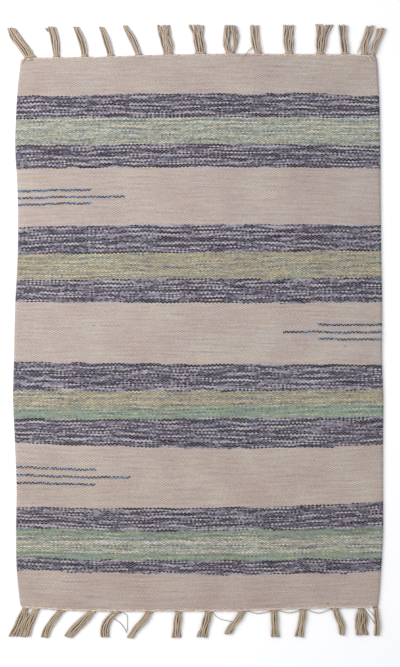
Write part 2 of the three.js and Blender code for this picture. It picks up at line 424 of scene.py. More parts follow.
faces = top.tolist()
row_stops = [*range(0, rows - 1, CELL_THREADS), rows - 1]
column_stops = [*range(0, columns - 1, CELL_THREADS), columns - 1]
for r0, r1 in zip(row_stops, row_stops[1:]):
    for c0, c1 in zip(column_stops, column_stops[1:]):
        cell = [under(r0, c) for c in walk(c0, c1, r0 == 0)]
        cell += [under(r, c1) for r in walk(r0, r1, c1 == columns - 1)]
        cell += [under(r1, c) for c in walk(c1, c0, r1 == rows - 1)]
        cell += [under(r, c0) for r in walk(r1, r0, c0 == 0)]
        faces.append(cell)

edge_walk = [(0, c) for c in range(columns - 1)]
edge_walk += [(r, columns - 1) for r in range(rows - 1)]
edge_walk += [(rows - 1, c) for c in range(columns - 1, 0, -1)]
edge_walk += [(r, 0) for r in range(rows - 1, 0, -1)]
for here, there in zip(edge_walk, edge_walk[1:] + edge_walk[:1]):
    faces.append([index[here], index[there], under(*there), under(*here)])


# %% Build the cloth's mesh
def build_mesh(name, points, faces, corner_uvs, uv_name, material):
    """A smooth object from points in mm, with one UV pair for each corner of each face."""
    mesh = bpy.data.meshes.new(name)
    mesh.from_pydata(np.asarray(points) * MM, [], faces)
    layer = mesh.uv_layers.new(name=uv_name)
    layer.data.foreach_set("uv", np.asarray(corner_uvs, np.float32).ravel())
    mesh.polygons.foreach_set("use_smooth", np.ones(len(mesh.polygons), bool))
    mesh.materials.append(material)
    mesh.update()
    built = bpy.data.objects.new(name, mesh)
    bpy.context.scene.collection.objects.link(built)
    return built


woven_cotton = bpy.data.materials.new("woven_cotton")
all_points = np.concatenate([points, np.array(under_points)])
all_threads = np.concatenate([threads, np.array(under_threads)])
corners = np.array([corner for face in faces for corner in face])
cloth = build_mesh("kilim_cloth", all_points, faces, all_threads[corners], "threads", woven_cotton)
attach(cloth, "root")
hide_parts("rug_field")
triangles = sum(len(p.vertices) - 2 for p in cloth.data.polygons)
print("cloth triangles:", triangles, "size in m:", tuple(cloth.dimensions))

# %% [markdown]
# ## Group: which pick is on top
# The stripes are colours of whole picks, and a pick only shows where nothing lies over
# it. This group works that out from the thread numbers. Every pick is a round yarn that
# rises over each second warp, and its neighbours rise over the warps between. At each
# point the height of the pick that runs there is compared with that of its neighbour,
# and the higher one shows. The group gives the column, the pick on top, the height, and
# how much of the warp shows between two picks.

# %% Group: weave floats
from functools import partial

YARN_REACH = 0.70
RISE = 0.4
WARP_SHOWS_FROM = 0.55
WARP_SHOWS_TO = 0.25

weave_floats, taken, end = new_group(
    "weave floats", {"Threads": None}, ["Column", "Pick", "Height", "Warp shows"]
)
weave_calc = partial(calc, weave_floats)
split = put(weave_floats, "SeparateXYZ", {0: taken["Threads"]})
column = weave_calc("FLOOR", split[0])
row = weave_calc("FLOOR", split[1])
off_middle = weave_calc("SUBTRACT", weave_calc("FRACT", split[1]), 0.5)
swing = weave_calc("SUBTRACT", weave_calc("SUBTRACT", split[0], 0.5), row)
wave = weave_calc("COSINE", weave_calc("MULTIPLY", swing, np.pi))
crest = weave_calc("MULTIPLY_ADD", wave, 0.5, 0.5)
own_distance = weave_calc("ABSOLUTE", off_middle)
next_distance = weave_calc("SUBTRACT", 1, own_distance)


def yarn_height(distance, crest_share):
    """Height of a round yarn at a distance from its middle, raised on its crest."""
    share = weave_calc("POWER", weave_calc("DIVIDE", distance, YARN_REACH), 2)
    arch = weave_calc("SQRT", weave_calc("SUBTRACT", 1, share, clamp=True))
    return weave_calc("MULTIPLY_ADD", crest_share, RISE, arch)


own = yarn_height(own_distance, crest)
neighbour = yarn_height(next_distance, weave_calc("SUBTRACT", 1, crest))
covered = weave_calc("GREATER_THAN", neighbour, own)
shift = weave_calc("MULTIPLY", covered, weave_calc("SIGN", off_middle))
height = weave_calc("DIVIDE", weave_calc("MAXIMUM", own, neighbour), 1 + RISE)
warp_range = {"Value": crest, "From Min": WARP_SHOWS_FROM, "From Max": WARP_SHOWS_TO}
bare = put(weave_floats, "MapRange", warp_range)[0]
bare = weave_calc("MULTIPLY", bare, weave_calc("SUBTRACT", 1, covered))
pick_on_top = weave_calc("ADD", row, shift)
results = {"Column": column, "Pick": pick_on_top, "Height": height, "Warp shows": bare}
fill(weave_floats, end, results)

# %% [markdown]
# ## Group: marled yarn
# The yarns are spun from two shades, so a pick drifts from dark to pale and back on its
# way across. The weaver changes shuttles often, so that two dark picks seldom lie side by
# side: here a share of the two picks before is taken off each pick.

# %% Group: marled yarn
SHARES_OF_PICKS = [1.0, -0.22, -0.45]
PICK_STRIDE = 5.37
TINT_SWING = 2.4
TINT_CHANCE = 0.5

MARL_INPUTS = ["Column", "Pick", "Run", "Drift", "Pick to pick", "Chance", "Seed"]
marled_yarn, taken, end = new_group(
    "marled yarn", dict.fromkeys(MARL_INPUTS, 0.0), ["Tone", "Tint"]
)
marl_calc = partial(calc, marled_yarn)


def drift_noise(tree, column, pick, run, stride, seed):
    """Slow change along a pick. Stride sets how little neighbouring picks have in common."""
    along = calc(tree, "DIVIDE", column, run)
    across = calc(tree, "MULTIPLY_ADD", pick, stride, seed)
    inputs = {"Vector": put(tree, "CombineXYZ", {0: along, 1: across})[0], "Scale": 1, "Detail": 1}
    return calc(tree, "SUBTRACT", put(tree, "TexNoise", inputs, noise_dimensions="2D")[0], 0.5)


def shade_of_pick(pick):
    """The drift and the base shade of a pick."""
    drift = drift_noise(marled_yarn, taken["Column"], pick, taken["Run"], PICK_STRIDE, taken["Seed"])
    number = marl_calc("ADD", pick, taken["Seed"])
    base = put(marled_yarn, "TexWhiteNoise", {"W": number}, noise_dimensions="1D")[0]
    base = marl_calc("SUBTRACT", base, 0.5)
    both = marl_calc("MULTIPLY", drift, taken["Drift"])
    return marl_calc("MULTIPLY_ADD", base, taken["Pick to pick"], both)


tone = 0.5
for picks_before, share in enumerate(SHARES_OF_PICKS):
    shade_there = shade_of_pick(marl_calc("SUBTRACT", taken["Pick"], picks_before))
    tone = marl_calc("MULTIPLY_ADD", shade_there, share, tone)
spot = put(marled_yarn, "CombineXYZ", {0: taken["Column"], 1: taken["Pick"], 2: taken["Seed"]})[0]
dice = put(marled_yarn, "TexWhiteNoise", {"Vector": spot}, noise_dimensions="3D")
luck = marl_calc("SUBTRACT", dice[0], 0.5)
tone = marl_calc("MULTIPLY_ADD", luck, taken["Chance"], tone, clamp=True)
tint_drift = drift_noise(
    marled_yarn, taken["Column"], taken["Pick"], run=24.0, stride=3.71, seed=60.0
)
second_luck = put(marled_yarn, "SeparateColor", {0: dice[1]})[2]
tint = marl_calc("MULTIPLY_ADD", second_luck, TINT_CHANCE, 0.5 - TINT_CHANCE / 2)
tint = marl_calc("MULTIPLY_ADD", tint_drift, TINT_SWING, tint, clamp=True)
fill(marled_yarn, end, {"Tone": tone, "Tint": tint})

# %% [markdown]
# ## Group: cotton fibres
# Close up, cotton yarn is a soft bundle of fibres that run with the thread. A fine noise,
# stretched along the thread, serves the weave, the dashes and the tassels alike.

# %% Group: cotton fibres
HAIR_SHARE = 0.7
LINT_SCALE = 420.0

cotton_fibres, taken, end = new_group(
    "cotton fibres", {"Place": None, "Scale": 900.0, "Stretch": 5.0}, ["Fuzz", "Height"]
)
parts = put(cotton_fibres, "SeparateXYZ", {0: taken["Place"]})
drawn_out = calc(cotton_fibres, "DIVIDE", parts[0], taken["Stretch"])
drawn = put(cotton_fibres, "CombineXYZ", {0: drawn_out, 1: parts[1], 2: parts[2]})[0]
hair_look = {"Vector": drawn, "Scale": taken["Scale"], "Detail": 3, "Roughness": 0.6}
hairs = put(cotton_fibres, "TexNoise", hair_look)[0]
lint_look = {"Vector": taken["Place"], "Scale": LINT_SCALE, "Detail": 2}
lint = calc(cotton_fibres, "MULTIPLY", put(cotton_fibres, "TexNoise", lint_look)[0], 1 - HAIR_SHARE)
height = calc(cotton_fibres, "MULTIPLY_ADD", hairs, HAIR_SHARE, lint)
fill(cotton_fibres, end, {"Fuzz": hairs, "Height": height})

# %% [markdown]
# ## Yarns of the cloth
# Five yarns are used. For each one a scale of shades runs from its darkest float to its
# palest, and the marled yarn's tone picks the shade. The stripe plan becomes a second,
# stepped scale over the pick numbers, which says which of the five yarns is on the
# loom. Where a new shuttle starts, the change may come a pick early or late.

# %% Shades of the five yarns
# Shades from the darkest to the palest, with their places on the scale of tones. Then how
# far the tone changes along a pick, from pick to pick and from float to float, how far the
# tint swings between bluish and yellowish, and how much shade is painted into the pits.
Yarn = namedtuple("Yarn", "shades drift base chance tint pit")
YARNS = {
    "cream": Yarn(
        [(0, "a99b96"), (0.3, "bdb0ab"), (0.5, "c6b9b4"), (0.75, "cdc2bd"), (1, "d8ceca")],
        drift=0.7, base=0.08, chance=0.25, tint=0.28, pit=1.15,
    ),
    "dusk": Yarn(
        [(0, "06061d"), (0.3, "1e1d33"), (0.48, "5b596f"), (0.68, "9591a4"), (1, "c8c2cc")],
        drift=1.8, base=0.3, chance=0.48, tint=0.4, pit=1.4,
    ),
    "sage": Yarn(
        [(0, "6c7e82"), (0.3, "9ca6a4"), (0.5, "b9bbab"), (0.7, "cacac0"), (1, "e7e6e4")],
        drift=1.2, base=0.42, chance=0.55, tint=0.65, pit=1.6,
    ),
    "straw": Yarn(
        [(0, "708081"), (0.3, "a1a39a"), (0.5, "beb59d"), (0.75, "cbc1a8"), (1, "e4ddce")],
        drift=1.2, base=0.25, chance=0.55, tint=0.6, pit=1.75,
    ),
    "mint": Yarn(
        [(0, "627470"), (0.3, "82988a"), (0.5, "96ab9a"), (0.75, "a4b09d"), (1, "c8ccbe")],
        drift=1.2, base=0.32, chance=0.5, tint=0.7, pit=1.3,
    ),
}
RUN_OF_SHADE = 18.0
TINTS = [(0.2, "eaf6ff"), (0.5, "f8f9f6"), (0.8, "fff9e2")]
# Towards the near end the cloth turns a shade warmer and darker
NEAR_END_WARMING = [(0.6, "ffffff"), (0.76, "fffefb"), (0.95, "fcf9f6")]

# %% Colour of the cloth
CODE_STEP = 1 / 8
CODE_TOLERANCE = 0.03
SEED_STEP = 10.0
EARLY_PICKS = 3.0


def fresh_tree(material):
    """An emptied node tree with a Principled shader, and that shader."""
    material.use_nodes = True
    made = material.node_tree
    made.nodes.clear()
    shader = made.nodes.new("ShaderNodeBsdfPrincipled")
    output = made.nodes.new("ShaderNodeOutputMaterial")
    made.links.new(shader.outputs[0], output.inputs[0])
    return made, shader


tree, cotton = fresh_tree(woven_cotton)
thread_map = put(tree, "UVMap", uv_map="threads")[0]
weave = place_group(tree, weave_floats, {"Threads": thread_map})
start_noise = drift_noise(tree, weave["Column"], weave["Pick"], run=40, stride=0.05, seed=3)
early = calc(tree, "ROUND", calc(tree, "MULTIPLY", start_noise, EARLY_PICKS))
loom_pick = calc(tree, "DIVIDE", calc(tree, "ADD", weave["Pick"], early), float(PICKS))

# Each yarn's code is a grey on the stepped scale, which a mask then looks for
codes = {name: i * CODE_STEP for i, name in enumerate(YARNS)}
plan = [(0.0, (0.0, 0.0, 0.0, 1.0))]
for first, (name, *_) in zip(first_picks, STRIPES):
    plan.append(((first - 0.5) / PICKS, (*[codes[name]] * 3, 1.0)))
yarn_code = put(tree, "RGBToBW", {0: ramp(tree, loom_pick, plan, smooth=False)})[0]
masks = [calc(tree, "COMPARE", yarn_code, code, CODE_TOLERANCE) for code in codes.values()]


def by_yarn(measure):
    """The measure of whichever yarn is on the loom."""
    total = 0.0
    for mask, yarn in zip(masks, YARNS.values()):
        total = calc(tree, "MULTIPLY_ADD", mask, getattr(yarn, measure), total)
    return total


cloth_colour = colour("ffffff")
for i, (mask, yarn) in enumerate(zip(masks, YARNS.values())):
    spread = [yarn.drift, yarn.base, yarn.chance]
    values = [weave["Column"], weave["Pick"], RUN_OF_SHADE, *spread, SEED_STEP * i]
    marl = place_group(tree, marled_yarn, dict(zip(MARL_INPUTS, values)))
    cloth_colour = blend(tree, mask, cloth_colour, ramp(tree, marl["Tone"], yarn.shades))
tints = ramp(tree, marl["Tint"], TINTS)
cloth_colour = blend(tree, by_yarn("tint"), cloth_colour, tints, "MULTIPLY")
cloth_colour = blend(tree, 1, cloth_colour, ramp(tree, loom_pick, NEAR_END_WARMING), "MULTIPLY")

# %% Warps, painted pit shade, patches and fibres of the cloth
WARP_COLOUR = "a59fa6"
WARP_COVER = 0.75
WARP_COVER_SWING = 1.8
FIBRE_BUMP = 0.25
FLOAT_BUMP = 0.9

cover = drift_noise(tree, weave["Column"], weave["Pick"], run=14, stride=0.7, seed=1)
cover = calc(tree, "MULTIPLY_ADD", cover, WARP_COVER_SWING, WARP_COVER, clamp=True)
warp_share = calc(tree, "MULTIPLY", weave["Warp shows"], cover)
cloth_colour = blend(tree, warp_share, cloth_colour, colour(WARP_COLOUR), "LIGHTEN")

place = put(tree, "NewGeometry")["Position"]
# Painted shade: the cloth's colour is darkened where the weave lies low, in the pits between floats
depth = calc(tree, "SUBTRACT", 1, weave["Height"], clamp=True)
pit = calc(tree, "SUBTRACT", 1, calc(tree, "MULTIPLY", depth, by_yarn("pit")), clamp=True)
patch = put(tree, "TexNoise", {"Vector": place, "Scale": 14, "Detail": 3})[0]
patch_colour = ramp(tree, patch, [(0.3, "f0eae9"), (0.7, "fdfffb")])
fibres = place_group(tree, cotton_fibres, {"Place": place, "Scale": 1500, "Stretch": 4})
fuzz_colour = ramp(tree, fibres["Fuzz"], [(0.3, "e2e0de"), (0.7, "ffffff")])
for shade in (grey(tree, pit), patch_colour, fuzz_colour):
    cloth_colour = blend(tree, 1, cloth_colour, shade, "MULTIPLY")

bump_height = calc(tree, "MULTIPLY", weave["Height"], FLOAT_BUMP)
bump_height = calc(tree, "MULTIPLY_ADD", fibres["Height"], FIBRE_BUMP, bump_height)
cotton_finish = {
    "Base Color": cloth_colour,
    "Normal": relief(tree, bump_height, depth=0.35 * MM, strength=0.8),
    "Roughness": calc(tree, "MULTIPLY_ADD", fibres["Fuzz"], 0.12, 0.84),
    "Specular IOR Level": 0.15,
    "Sheen Weight": 0.06,
}
fill(tree, cotton, cotton_finish)
print("cloth material nodes:", len(tree.nodes))

# %% [markdown]
# ## Floor
# The stage is a plain, nearly white floor, a hair below the cloth so that the two never
# share a face. It isn't part of the rug.

# %% Pale floor
FLOOR_HALF_SIZE = 6000.0
FLOOR_DROP = 0.2

floor_paint = bpy.data.materials.new("pale_floor")
floor_tree, floor_shader = fresh_tree(floor_paint)
floor_place = put(floor_tree, "NewGeometry")["Position"]
floor_grain = put(floor_tree, "TexNoise", {"Vector": floor_place, "Scale": 3})[0]
floor_shade = ramp(floor_tree, floor_grain, [(0.3, "e6e6e7"), (0.7, "e8e8e8")])
fill(floor_tree, floor_shader, {"Base Color": floor_shade, "Roughness": 0.9})
floor_corners = [(-1, -1), (1, -1), (1, 1), (-1, 1)]
floor_points = [(x * FLOOR_HALF_SIZE, y * FLOOR_HALF_SIZE, -FLOOR_DROP) for x, y in floor_corners]
floor = build_mesh("floor", floor_points, [(0, 1, 2, 3)], floor_corners, "floor_map", floor_paint)

# %% [markdown]
# ## Laying a yarn
# Tassels, dashes and end cords are all yarns that follow a line. A curve object with a
# bevel would do, but tubes made here can carry a UV map that says how far along and how
# far round a point is, which the ply of the yarn needs, and many yarns can share a mesh.

# %% Tubes along a line
NEARLY_UP = [0.01, 0.02, 1.0]


class YarnMesh:
    """Collects the points, faces and yarn coordinates of many yarns for one mesh."""

    def __init__(self):
        self.points = []
        self.faces = []
        self.uvs = []
        self.count = 0

    def lay(self, path, radii, sides=7):
        """Adds a yarn along a path in mm, with a radius for each point of the path."""
        path = np.asarray(path, float)
        radii = np.broadcast_to(radii, len(path))
        steps = np.gradient(path, axis=0)
        ways = steps / np.linalg.norm(steps, axis=1)[:, None]
        lengths = np.concatenate([[0], np.cumsum(np.linalg.norm(np.diff(path, axis=0), axis=1))])
        up = np.cross(np.cross(ways[0], NEARLY_UP), ways[0])
        first = len(self.points)
        angles = 2 * np.pi * np.arange(sides) / sides
        for centre, way, radius in zip(path, ways, radii):
            up = up - way * np.dot(up, way)
            up /= np.linalg.norm(up)
            beside = np.cross(way, up)
            self.points += [centre + radius * (np.cos(a) * beside + np.sin(a) * up) for a in angles]
        for k in range(len(path) - 1):
            for s in range(sides):
                a = first + k * sides + s
                b = first + k * sides + (s + 1) % sides
                self.faces.append((a, b, b + sides, a + sides))
                left = self.count + s / sides
                right = self.count + (s + 1) / sides
                self.uvs += [
                    (left, lengths[k]), (right, lengths[k]),
                    (right, lengths[k + 1]), (left, lengths[k + 1]),
                ]
        last = first + (len(path) - 1) * sides
        start_cap = range(first + sides - 1, first - 1, -1)
        end_cap = range(last, last + sides)
        for cap, length in ((start_cap, 0.0), (end_cap, lengths[-1])):
            self.faces.append(tuple(cap))
            self.uvs += [(self.count + s / sides, length) for s in range(sides)]
        self.count += 1

    def build(self, name, material):
        """Makes the piece, which rides on the rug and takes its finish from a slot."""
        made = build_mesh(name, self.points, self.faces, self.uvs, "yarn", material)
        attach(made, "root")
        return made


# %% [markdown]
# ## Group: plied yarn
# A plied yarn shows slanting grooves where its strands wind round each other. The group
# takes the yarn map, whose first number counts yarns and goes once round each, and whose
# second is the length in millimetres, and gives the groove, a shade of its own for each
# yarn, and a slow change along it.

# %% Group: plied yarn
START_TURNS = 7.0
YARN_STRIDE = 7.7
SLOW_PER_MM = 0.12

plied_yarn, taken, end = new_group(
    "plied yarn", {"Yarn": None, "Plies": 2.0, "Pitch": 5.0}, ["Ply", "Own shade", "Slow"]
)
ply_calc = partial(calc, plied_yarn)
yarn_parts = put(plied_yarn, "SeparateXYZ", {0: taken["Yarn"]})
yarn_count = ply_calc("FLOOR", yarn_parts[0])
own_shade = put(plied_yarn, "TexWhiteNoise", {"W": yarn_count}, noise_dimensions="1D")[0]
round_share = ply_calc("MULTIPLY", ply_calc("FRACT", yarn_parts[0]), taken["Plies"])
turns = ply_calc("ADD", round_share, ply_calc("DIVIDE", yarn_parts[1], taken["Pitch"]))
turns = ply_calc("MULTIPLY_ADD", own_shade, START_TURNS, turns)
groove = ply_calc("ABSOLUTE", ply_calc("SINE", ply_calc("MULTIPLY", turns, np.pi)))
which = ply_calc("MULTIPLY", yarn_count, YARN_STRIDE)
where = ply_calc("MULTIPLY", yarn_parts[1], SLOW_PER_MM)
along_yarn = put(plied_yarn, "CombineXYZ", {0: which, 1: where})[0]
slow_look = {"Vector": along_yarn, "Scale": 1}
slow = put(plied_yarn, "TexNoise", slow_look, noise_dimensions="2D")[0]
fill(plied_yarn, end, {"Ply": groove, "Own shade": own_shade, "Slow": slow})


# %% Finish of a plied yarn
PLIES = 2.0
SLOW_SHARE = 0.7
OWN_SHARE = 0.75
FUZZ_SHARE = 0.4
GROOVE_SHARPNESS = 0.6
LOW_LEVEL = 5 * MM
# How much painted shade a yarn gets, by its height over the floor as a share of the low level
LOW_PAINTED_SHADE = [(0.14, "85766f"), (0.24, "eae3dd"), (0.7, "ffffff")]


def yarn_material(name, shades, pitch, groove_shade_strength):
    """A matt plied yarn. Shades run from the darkest to the palest strand."""
    material = bpy.data.materials.new(name)
    tree, shader = fresh_tree(material)
    yarn_map = put(tree, "UVMap", uv_map="yarn")[0]
    ply = place_group(tree, plied_yarn, {"Yarn": yarn_map, "Plies": PLIES, "Pitch": pitch})
    place = put(tree, "NewGeometry")["Position"]
    fibres = place_group(tree, cotton_fibres, {"Place": place, "Scale": 1400, "Stretch": 1.5})
    mixed = calc(tree, "MULTIPLY", ply["Own shade"], OWN_SHARE)
    mixed = calc(tree, "MULTIPLY_ADD", ply["Slow"], SLOW_SHARE, mixed)
    fuzz = calc(tree, "MULTIPLY_ADD", fibres["Fuzz"], FUZZ_SHARE, -FUZZ_SHARE)
    shade = ramp(tree, calc(tree, "ADD", mixed, fuzz), shades)
    # Painted shade: the grooves between the plies are darkened in the colour
    crest = calc(tree, "POWER", ply["Ply"], GROOVE_SHARPNESS)
    groove_shade = grey(tree, calc(tree, "MULTIPLY_ADD", crest, groove_shade_strength, 1 - groove_shade_strength))
    shade = blend(tree, 1, shade, groove_shade, "MULTIPLY")
    # Painted shade: yarns low in a bundle are darkened as if in its shade, and those on the floor are
    # nearly lost in it
    level = calc(tree, "DIVIDE", put(tree, "SeparateXYZ", {0: place})[2], LOW_LEVEL)
    shade = blend(tree, 1, shade, ramp(tree, level, LOW_PAINTED_SHADE), "MULTIPLY")
    height = calc(tree, "MULTIPLY_ADD", fibres["Height"], 0.3, ply["Ply"])
    finish = {
        "Base Color": shade,
        "Normal": relief(tree, height, depth=0.3 * MM, strength=0.8),
        "Roughness": calc(tree, "MULTIPLY_ADD", fibres["Fuzz"], 0.15, 0.8),
        "Specular IOR Level": 0.2,
        "Sheen Weight": 0.08,
    }
    fill(tree, shader, finish)
    return material


# The near tassels take the far tassels' khaki a shade darker and yellower
FAR_KHAKI = [(0, "958373"), (0.35, "a39381"), (0.65, "af9e8e"), (1, "bbac9c")]
NEAR_KHAKI = [(0, "8f7c67"), (0.35, "9d8d77"), (0.65, "a99882"), (1, "b5a590")]
PEACH = [(0, "b39c8b"), (0.4, "c3af9f"), (1, "d2c1b2")]
far_khaki_yarn = yarn_material("far_khaki_yarn", FAR_KHAKI, pitch=4.5, groove_shade_strength=0.18)
near_khaki_yarn = yarn_material("near_khaki_yarn", NEAR_KHAKI, pitch=4.5, groove_shade_strength=0.18)
end_cord_yarn = yarn_material("end_cord_yarn", PEACH, pitch=9.0, groove_shade_strength=0.1)

# %% [markdown]
# ## Tassels
# Each tassel is a dozen or more yarns pulled through the last picks, tied in one tight
# knot against the end of the rug and left to lie. No two lie alike, so every tassel has
# its own row of measures. A yarn comes out of the cloth's end, crowds into the knot and
# then spreads to the width of the tip, lying over and under the others.

# %% Measures of the tassels, left to right
# x is the knot's place across the rug. third, two_thirds and tip say how far to the right of
# it the bundle lies there. Then come its reach, three widths, and any gap between two legs.
Tassel = namedtuple("Tassel", "x third two_thirds tip reach root middle end gap", defaults=[0])
FAR_TASSELS = [
    (-277.6, -9.2, -21.5, -30, 50, 16, 20, 13),
    (-233.5, -1.2, -3.6, -8.5, 50.8, 9, 13.5, 13.5),
    (-187.3, -2, -6.9, -14.1, 49.9, 9, 11.5, 9.3),
    (-144.5, -4.1, -8.7, -15.3, 49.8, 9.5, 10.5, 8),
    (-98.4, -5.9, -13.3, -23, 49.5, 9, 11.5, 7.5),
    (-49.9, -2.1, -6, -7.9, 49.1, 14, 20, 21),
    (2.8, -2.3, -4.6, -6.7, 48.7, 15, 18.5, 25),
    (52, 0, 0.8, 0.3, 47.4, 12, 21.5, 21, 5.5),
    (98, -4, -5.9, -7.2, 47.9, 10, 13.5, 14.5),
    (148.7, -1, -1.1, -1.1, 48.1, 11, 17, 17.5),
    (199.3, 1.3, 3.9, 7.4, 49.8, 10.5, 18.5, 29),
    (240.5, -1.3, -2.8, -4.1, 49.2, 10, 11.8, 14.5),
    (272.5, -0.5, 4.5, 9.5, 48, 9.5, 12.5, 13.5),
    (286, 2.5, 9, 14.1, 44.9, 7.5, 12, 15),
]
NEAR_TASSELS = [
    (-284.6, -4.9, -12, -18.4, 48, 8, 15, 18),
    (-266.3, -8.2, -14.5, -19, 47.5, 9, 16, 17),
    (-224.8, -12.3, -22.5, -27.5, 45.5, 10, 13, 13),
    (-174.7, -12.8, -27, -39.5, 43.5, 10, 18.5, 14),
    (-134.2, -13.9, -19.5, -19.7, 43, 12, 14, 13.7),
    (-80.4, -8.7, -22, -31.2, 44.3, 9, 13.8, 12),
    (-32.8, -1.5, -3, -3.8, 44.5, 9, 12.8, 16),
    (16.8, -3.4, -7.5, -11, 44, 10, 14, 18),
    (72.3, -7.1, -17.5, -24, 39, 10, 12.5, 13),
    (124, 0.5, 1.3, 2.1, 46, 10, 12, 14.5),
    (171.8, -1.2, -3.9, -6.6, 47.4, 9, 12, 15.5),
    (224, 4.9, 10.9, 12, 45.2, 10, 12, 10),
    (266.7, 1.1, 0.5, 1.5, 45.6, 7, 20, 21),
    (291, 1.3, 3.1, 1.3, 47.6, 6, 8.5, 9),
]

FAR_TASSELS, NEAR_TASSELS = [[Tassel(*row) for row in end] for end in (FAR_TASSELS, NEAR_TASSELS)]

# %% Yarns of one tassel
STRAND_RADIUS = 1.2
STRAND_POINTS = 22
RADIUS_SPREAD = (0.85, 1.1)
SHORTER = 0.05
SWAY = 0.16
RIPPLE = 0.1
GAP_END = 0.85
ROOT_HEIGHT = 6.2
TIP_HEIGHT = 5.0
RISES_WITHIN = 6
ROOT_INSIDE = [3.0, 1.2]
ROOT_LEVELS = [1.7, 2.0]
ROOT_SPREAD = np.array([0.25, 0.38])


def end_line(x, outward):
    """y of the cloth's far (+1) or near (-1) end at x."""
    return outward * (HALF_LENGTH + smooth_through(x, END_X, FAR_OUT if outward > 0 else NEAR_OUT))


def tassel_strand(row, outward, spot, height_share, chance):
    """The path of one yarn. spot is its place across the bundle, from -1 to 1."""
    stations = np.linspace(0, 1, STRAND_POINTS)
    body = stations * row.reach * (1 - SHORTER * chance.random())
    offsets = [0.0, row.third, row.two_thirds, row.tip]
    middle = row.x + smooth_through(stations, [0, 1 / 3, 2 / 3, 1], offsets)
    full_widths = [row.root, row.middle, row.middle, row.end]
    widths = smooth_through(stations, [0, 0.35, 0.65, 1], full_widths)
    wobble = chance.uniform(0, 6.3, 3)
    sway = SWAY * np.sin(5 * stations + wobble[0]) + RIPPLE * np.sin(11 * stations + wobble[1])
    across = np.clip(spot + sway * np.sqrt(stations), -1.05, 1.05)
    parting = np.sin(np.pi * np.clip(stations / GAP_END, 0, 1)) ** 0.7
    apart = np.sign(spot) * row.gap / 2 * parting
    px = middle + across * (widths / 2 - STRAND_RADIUS) + apart * (1 - 0.5 * abs(spot))
    py = end_line(row.x, outward) + outward * body
    # The bundle is round across, and lower where it leaves the cloth
    height = ROOT_HEIGHT + (TIP_HEIGHT - ROOT_HEIGHT) * stations
    height = height * (0.5 + 0.5 * np.clip(body / RISES_WITHIN, 0, 1))
    height = height * np.sqrt(1 - 0.45 * across**2 / 1.2)
    rise = (height - 2 * STRAND_RADIUS) * height_share + 0.3 * np.sin(7 * stations + wobble[2])
    pz = STRAND_RADIUS + np.maximum(rise, 0)
    root_y = end_line(row.x, outward) - outward * np.array(ROOT_INSIDE)
    root_x = row.x + spot * row.root * ROOT_SPREAD
    inside = np.stack([root_x, root_y, ROOT_LEVELS], -1)
    return np.concatenate([inside, np.stack([px, py, pz], -1)])


# %% Knots, and whole tassels
LANE_WIDTH = 3.4
WRAP_RADIUS = 0.8
WRAP_TURNS = 1.5
WRAP_START = 1.2
WRAP_LENGTH = 1.8
LOOP_RADIUS = 0.6


def knot_wrap(row, outward):
    """A yarn wound one and a half times round the root."""
    turns = np.linspace(0, 1, 26)
    angle = 2 * np.pi * WRAP_TURNS * turns - 0.6
    along = WRAP_START + WRAP_LENGTH * turns
    px = row.x + row.third / row.reach * along + row.root * 0.48 * np.cos(angle)
    pz = np.maximum(0.9, 2.9 + 2.6 * np.sin(angle))
    return np.stack([px, end_line(row.x, outward) + outward * along, pz], -1)


def shadow_loop_end(row, outward, side):
    """The end of the knot's loop, low down beside the root, where the darkening by height paints it
    nearly black as the shadow at the root's side.
    """
    px = row.x + side * (row.root / 2 + np.array([-1.0, 0.3, 0.7, 0.3]))
    py = end_line(row.x, outward) + outward * np.array([-1.5, 0.4, 1.8, 3.4])
    return np.stack([px, py, [0.7, 0.65, 0.6, 0.6]], -1)


def build_tassel(place, row, outward, seed):
    """One tassel, which stands for the CAD node of its place."""
    chance = np.random.default_rng(seed)
    yarn = YarnMesh()
    lanes = max(3, round(row.middle / LANE_WIDTH))
    # How many yarns lie beside each other in a layer, how high it is, and how far they stray
    layers = [(lanes + 1, 0.0, 0.12), (lanes, 1.0, 0.1), (lanes // 2, 0.6, 0.5)]
    for number, height_share, stray in layers:
        for k in range(number):
            spot = (2 * k + 1) / number - 1 if number <= lanes // 2 else 2 * k / (number - 1) - 1
            spot = np.clip(spot + chance.uniform(-stray, stray), -1, 1)
            path = tassel_strand(row, outward, spot, height_share, chance)
            yarn.lay(path, STRAND_RADIUS * chance.uniform(*RADIUS_SPREAD))
    yarn.lay(knot_wrap(row, outward), WRAP_RADIUS, sides=6)
    # The loop ends lie on the floor and are painted nearly black, as the shadow beside the root
    for side in (-1, 1):
        yarn.lay(shadow_loop_end(row, outward, side), LOOP_RADIUS, sides=5)
    khaki = far_khaki_yarn if outward > 0 else near_khaki_yarn
    made = yarn.build(f"yarns_{place}", khaki)
    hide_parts(f"tassel_{place}")
    return made


for end, outward, rows_of_end in (("far", 1, FAR_TASSELS), ("near", -1, NEAR_TASSELS)):
    for i, row in enumerate(rows_of_end, start=1):
        build_tassel(f"{end}_{i:02d}", row, outward, 100 * i + outward)

# %% [markdown]
# ## Corded ends
# The last picks are held by a pair of pale yarns twined round each other along each end.
# Two tubes that wind about one line show it better than a painted line would. Each knot
# pulls the cord out a little.

# %% Twined cord along both ends
CORD_X = np.arange(-288.0, 287.0, 1.6)
CORD_TWIST = 24.0
CORD_INSIDE = 1.5
CORD_LEVEL = 3.3
CORD_SWAY = 0.65
KNOT_PULL = 0.9
KNOT_PULL_WIDTH = 0.6


